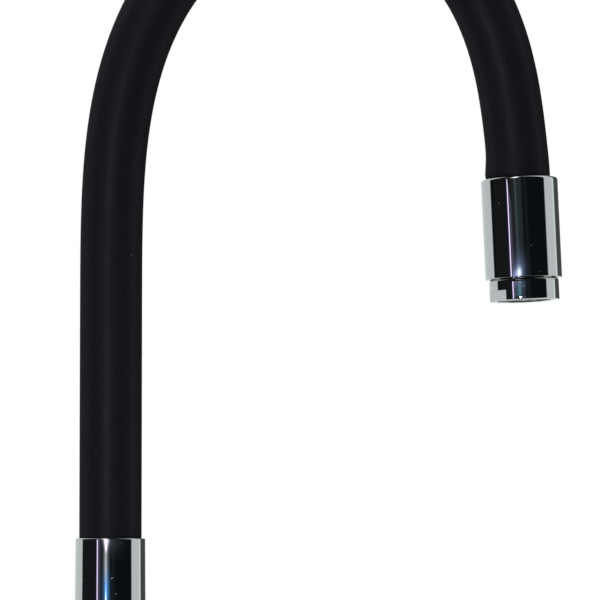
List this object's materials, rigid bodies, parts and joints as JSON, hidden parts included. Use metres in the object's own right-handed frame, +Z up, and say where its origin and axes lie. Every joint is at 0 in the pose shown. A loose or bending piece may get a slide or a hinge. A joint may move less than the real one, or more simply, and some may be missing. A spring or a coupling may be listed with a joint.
{
  "type": "gooseneck kitchen faucet",
  "caption": "Single-lever kitchen faucet with a flexible rubber-covered gooseneck spout, chrome ferrules and a screw-in aerator.",
  "frame": {"origin": "on the faucet's upright axis, at the underside of its base gasket, where it stands on the sink", "axes": "+Z up; +X the way the spout reaches at rest; +Y the side that the lever is on, the user's right"},
  "size_m": [0.1917, 0.0825, 0.4776],
  "materials": {
    "chrome": "polished chrome plate on brass",
    "black_rubber_cover": "smooth satin black silicone rubber",
    "water_hose_rubber": "smooth grey hose",
    "seal_rubber": "matt black rubber",
    "brass": "turned brass",
    "steel": "stainless steel, as turned or rolled",
    "spring_steel": "drawn wire",
    "white_plastic": "moulded",
    "grey_plastic": "moulded",
    "ceramic": "lapped alumina"
  },
  "bodies": {
    "base": {"body_shell": "chrome", "base_flange": "chrome", "base_gasket": "seal_rubber", "mounting_shank": "brass", "rubber_washer": "seal_rubber", "steel_washer": "steel", "shank_nut": "brass", "keeper_screw": "steel", "cartridge_base": "white_plastic", "port_seals": "seal_rubber", "fixed_disc": "ceramic", "cartridge_housing": "white_plastic", "cartridge_nut": "brass", "dome_cap": "chrome"},
    "mixing_rotor": {"stem_rotor": "white_plastic", "pivot_pin": "steel"},
    "mixing_disc": {"moving_disc": "ceramic", "disc_carriage": "white_plastic"},
    "lever": {"lever_stem": "steel", "lever_hub": "chrome", "lever_rod": "chrome", "lever_set_screw": "steel", "index_plug": "grey_plastic"},
    "spout_base": {"slip_ring": "white_plastic", "swivel_connector": "brass", "swivel_o_rings": "seal_rubber", "swivel_collar": "chrome", "lower_ferrule": "chrome", "lower_crimp": "steel", "water_hose": "water_hose_rubber", "spout_sleeve": "black_rubber_cover", "gooseneck_coil_1": "spring_steel"},
    "gooseneck_1": {"gooseneck_coil_2": "spring_steel"},
    "gooseneck_2": {"gooseneck_coil_3": "spring_steel"},
    "gooseneck_3": {"gooseneck_coil_4": "spring_steel"},
    "gooseneck_4": {"gooseneck_coil_5": "spring_steel"},
    "gooseneck_5": {"gooseneck_coil_6": "spring_steel"},
    "gooseneck_6": {"gooseneck_coil_7": "spring_steel"},
    "gooseneck_7": {"gooseneck_coil_8": "spring_steel"},
    "gooseneck_8": {"gooseneck_coil_9": "spring_steel"},
    "gooseneck_9": {"gooseneck_coil_10": "spring_steel"},
    "gooseneck_10": {"gooseneck_coil_11": "spring_steel"},
    "outlet": {"gooseneck_coil_12": "spring_steel", "outlet_connector": "brass", "upper_crimp": "steel", "outlet_ferrule": "chrome", "aerator_gasket": "seal_rubber", "aerator_screen": "steel", "aerator_insert": "grey_plastic", "aerator_shell": "chrome"}
  },
  "joints": [
    {"name": "spout_swivel", "type": "hinge", "parent": "base", "child": "spout_base", "pos_m": [0, 0, 0.118], "axis": [0, 0, 1], "continuous": true},
    {"name": "riser_bend", "type": "hinge", "parent": "spout_base", "child": "gooseneck_1", "pos_m": [0, 0, 0.21447], "axis": [0, 1, 0], "range_deg": [-7.5, 7.5], "deforming": ["spout_sleeve", "water_hose"]},
    {"name": "riser_sway", "type": "hinge", "parent": "gooseneck_1", "child": "gooseneck_2", "pos_m": [0, 0, 0.24895], "axis": [-1, 0, 0], "range_deg": [-7.5, 7.5], "deforming": ["spout_sleeve", "water_hose"]},
    {"name": "riser_bend_2", "type": "hinge", "parent": "gooseneck_2", "child": "gooseneck_3", "pos_m": [0.00004, 0, 0.28342], "axis": [0, 1, 0], "range_deg": [-7.5, 7.5], "deforming": ["spout_sleeve", "water_hose"]},
    {"name": "riser_sway_2", "type": "hinge", "parent": "gooseneck_3", "child": "gooseneck_4", "pos_m": [0.00128, 0, 0.31787], "axis": [-0.9965, 0, 0.0831], "range_deg": [-7.5, 7.5], "deforming": ["spout_sleeve", "water_hose"]},
    {"name": "crown_bend", "type": "hinge", "parent": "gooseneck_4", "child": "gooseneck_5", "pos_m": [0.00707, 0, 0.3518], "axis": [0, 1, 0], "range_deg": [-6, 10], "deforming": ["spout_sleeve", "water_hose"]},
    {"name": "crown_sway", "type": "hinge", "parent": "gooseneck_5", "child": "gooseneck_6", "pos_m": [0.02139, 0, 0.38299], "axis": [-0.8212, 0, 0.5707], "range_deg": [-10, 10], "deforming": ["spout_sleeve", "water_hose"]},
    {"name": "crown_bend_2", "type": "hinge", "parent": "gooseneck_6", "child": "gooseneck_7", "pos_m": [0.04652, 0, 0.40615], "axis": [0, 1, 0], "range_deg": [-6, 10], "deforming": ["spout_sleeve", "water_hose"]},
    {"name": "crown_sway_2", "type": "hinge", "parent": "gooseneck_7", "child": "gooseneck_8", "pos_m": [0.07959, 0, 0.41427], "axis": [0.0354, 0, 0.9994], "range_deg": [-10, 10], "deforming": ["spout_sleeve", "water_hose"]},
    {"name": "crown_bend_3", "type": "hinge", "parent": "gooseneck_8", "child": "gooseneck_9", "pos_m": [0.11191, 0, 0.40365], "axis": [0, 1, 0], "range_deg": [-6, 10], "deforming": ["spout_sleeve", "water_hose"]},
    {"name": "crown_sway_3", "type": "hinge", "parent": "gooseneck_9", "child": "gooseneck_10", "pos_m": [0.1345, 0, 0.37805], "axis": [0.8822, 0, 0.4709], "range_deg": [-10, 10], "deforming": ["spout_sleeve", "water_hose"]},
    {"name": "crown_bend_4", "type": "hinge", "parent": "gooseneck_10", "child": "outlet", "pos_m": [0.14521, 0, 0.34543], "axis": [0, 1, 0], "range_deg": [-6, 10], "deforming": ["spout_sleeve", "water_hose"]},
    {"name": "temperature_turn", "type": "hinge", "parent": "base", "child": "mixing_rotor", "pos_m": [0, 0, 0.062], "axis": [0, 1, 0], "range_deg": [-45, 45]},
    {"name": "flow_lift", "type": "hinge", "parent": "mixing_rotor", "child": "lever", "pos_m": [0, 0.017, 0.062], "axis": [-1, 0, 0], "range_deg": [0, 25]},
    {"name": "disc_slide", "type": "slide", "parent": "mixing_rotor", "child": "mixing_disc", "axis": [0, 0, 1], "range_m": [0, 0.00329]}
  ],
  "couplings": [
    {"joint": "riser_bend_2", "follows": "riser_bend", "ratio": 1},
    {"joint": "riser_sway_2", "follows": "riser_sway", "ratio": 1},
    {"joint": "crown_bend_2", "follows": "crown_bend", "ratio": 1},
    {"joint": "crown_sway_2", "follows": "crown_sway", "ratio": 1},
    {"joint": "crown_bend_3", "follows": "crown_bend", "ratio": 1},
    {"joint": "crown_sway_3", "follows": "crown_sway", "ratio": 1},
    {"joint": "crown_bend_4", "follows": "crown_bend", "ratio": 1},
    {"joint": "disc_slide", "follows": "flow_lift", "m_per_rad": 0.0075}
  ]
}
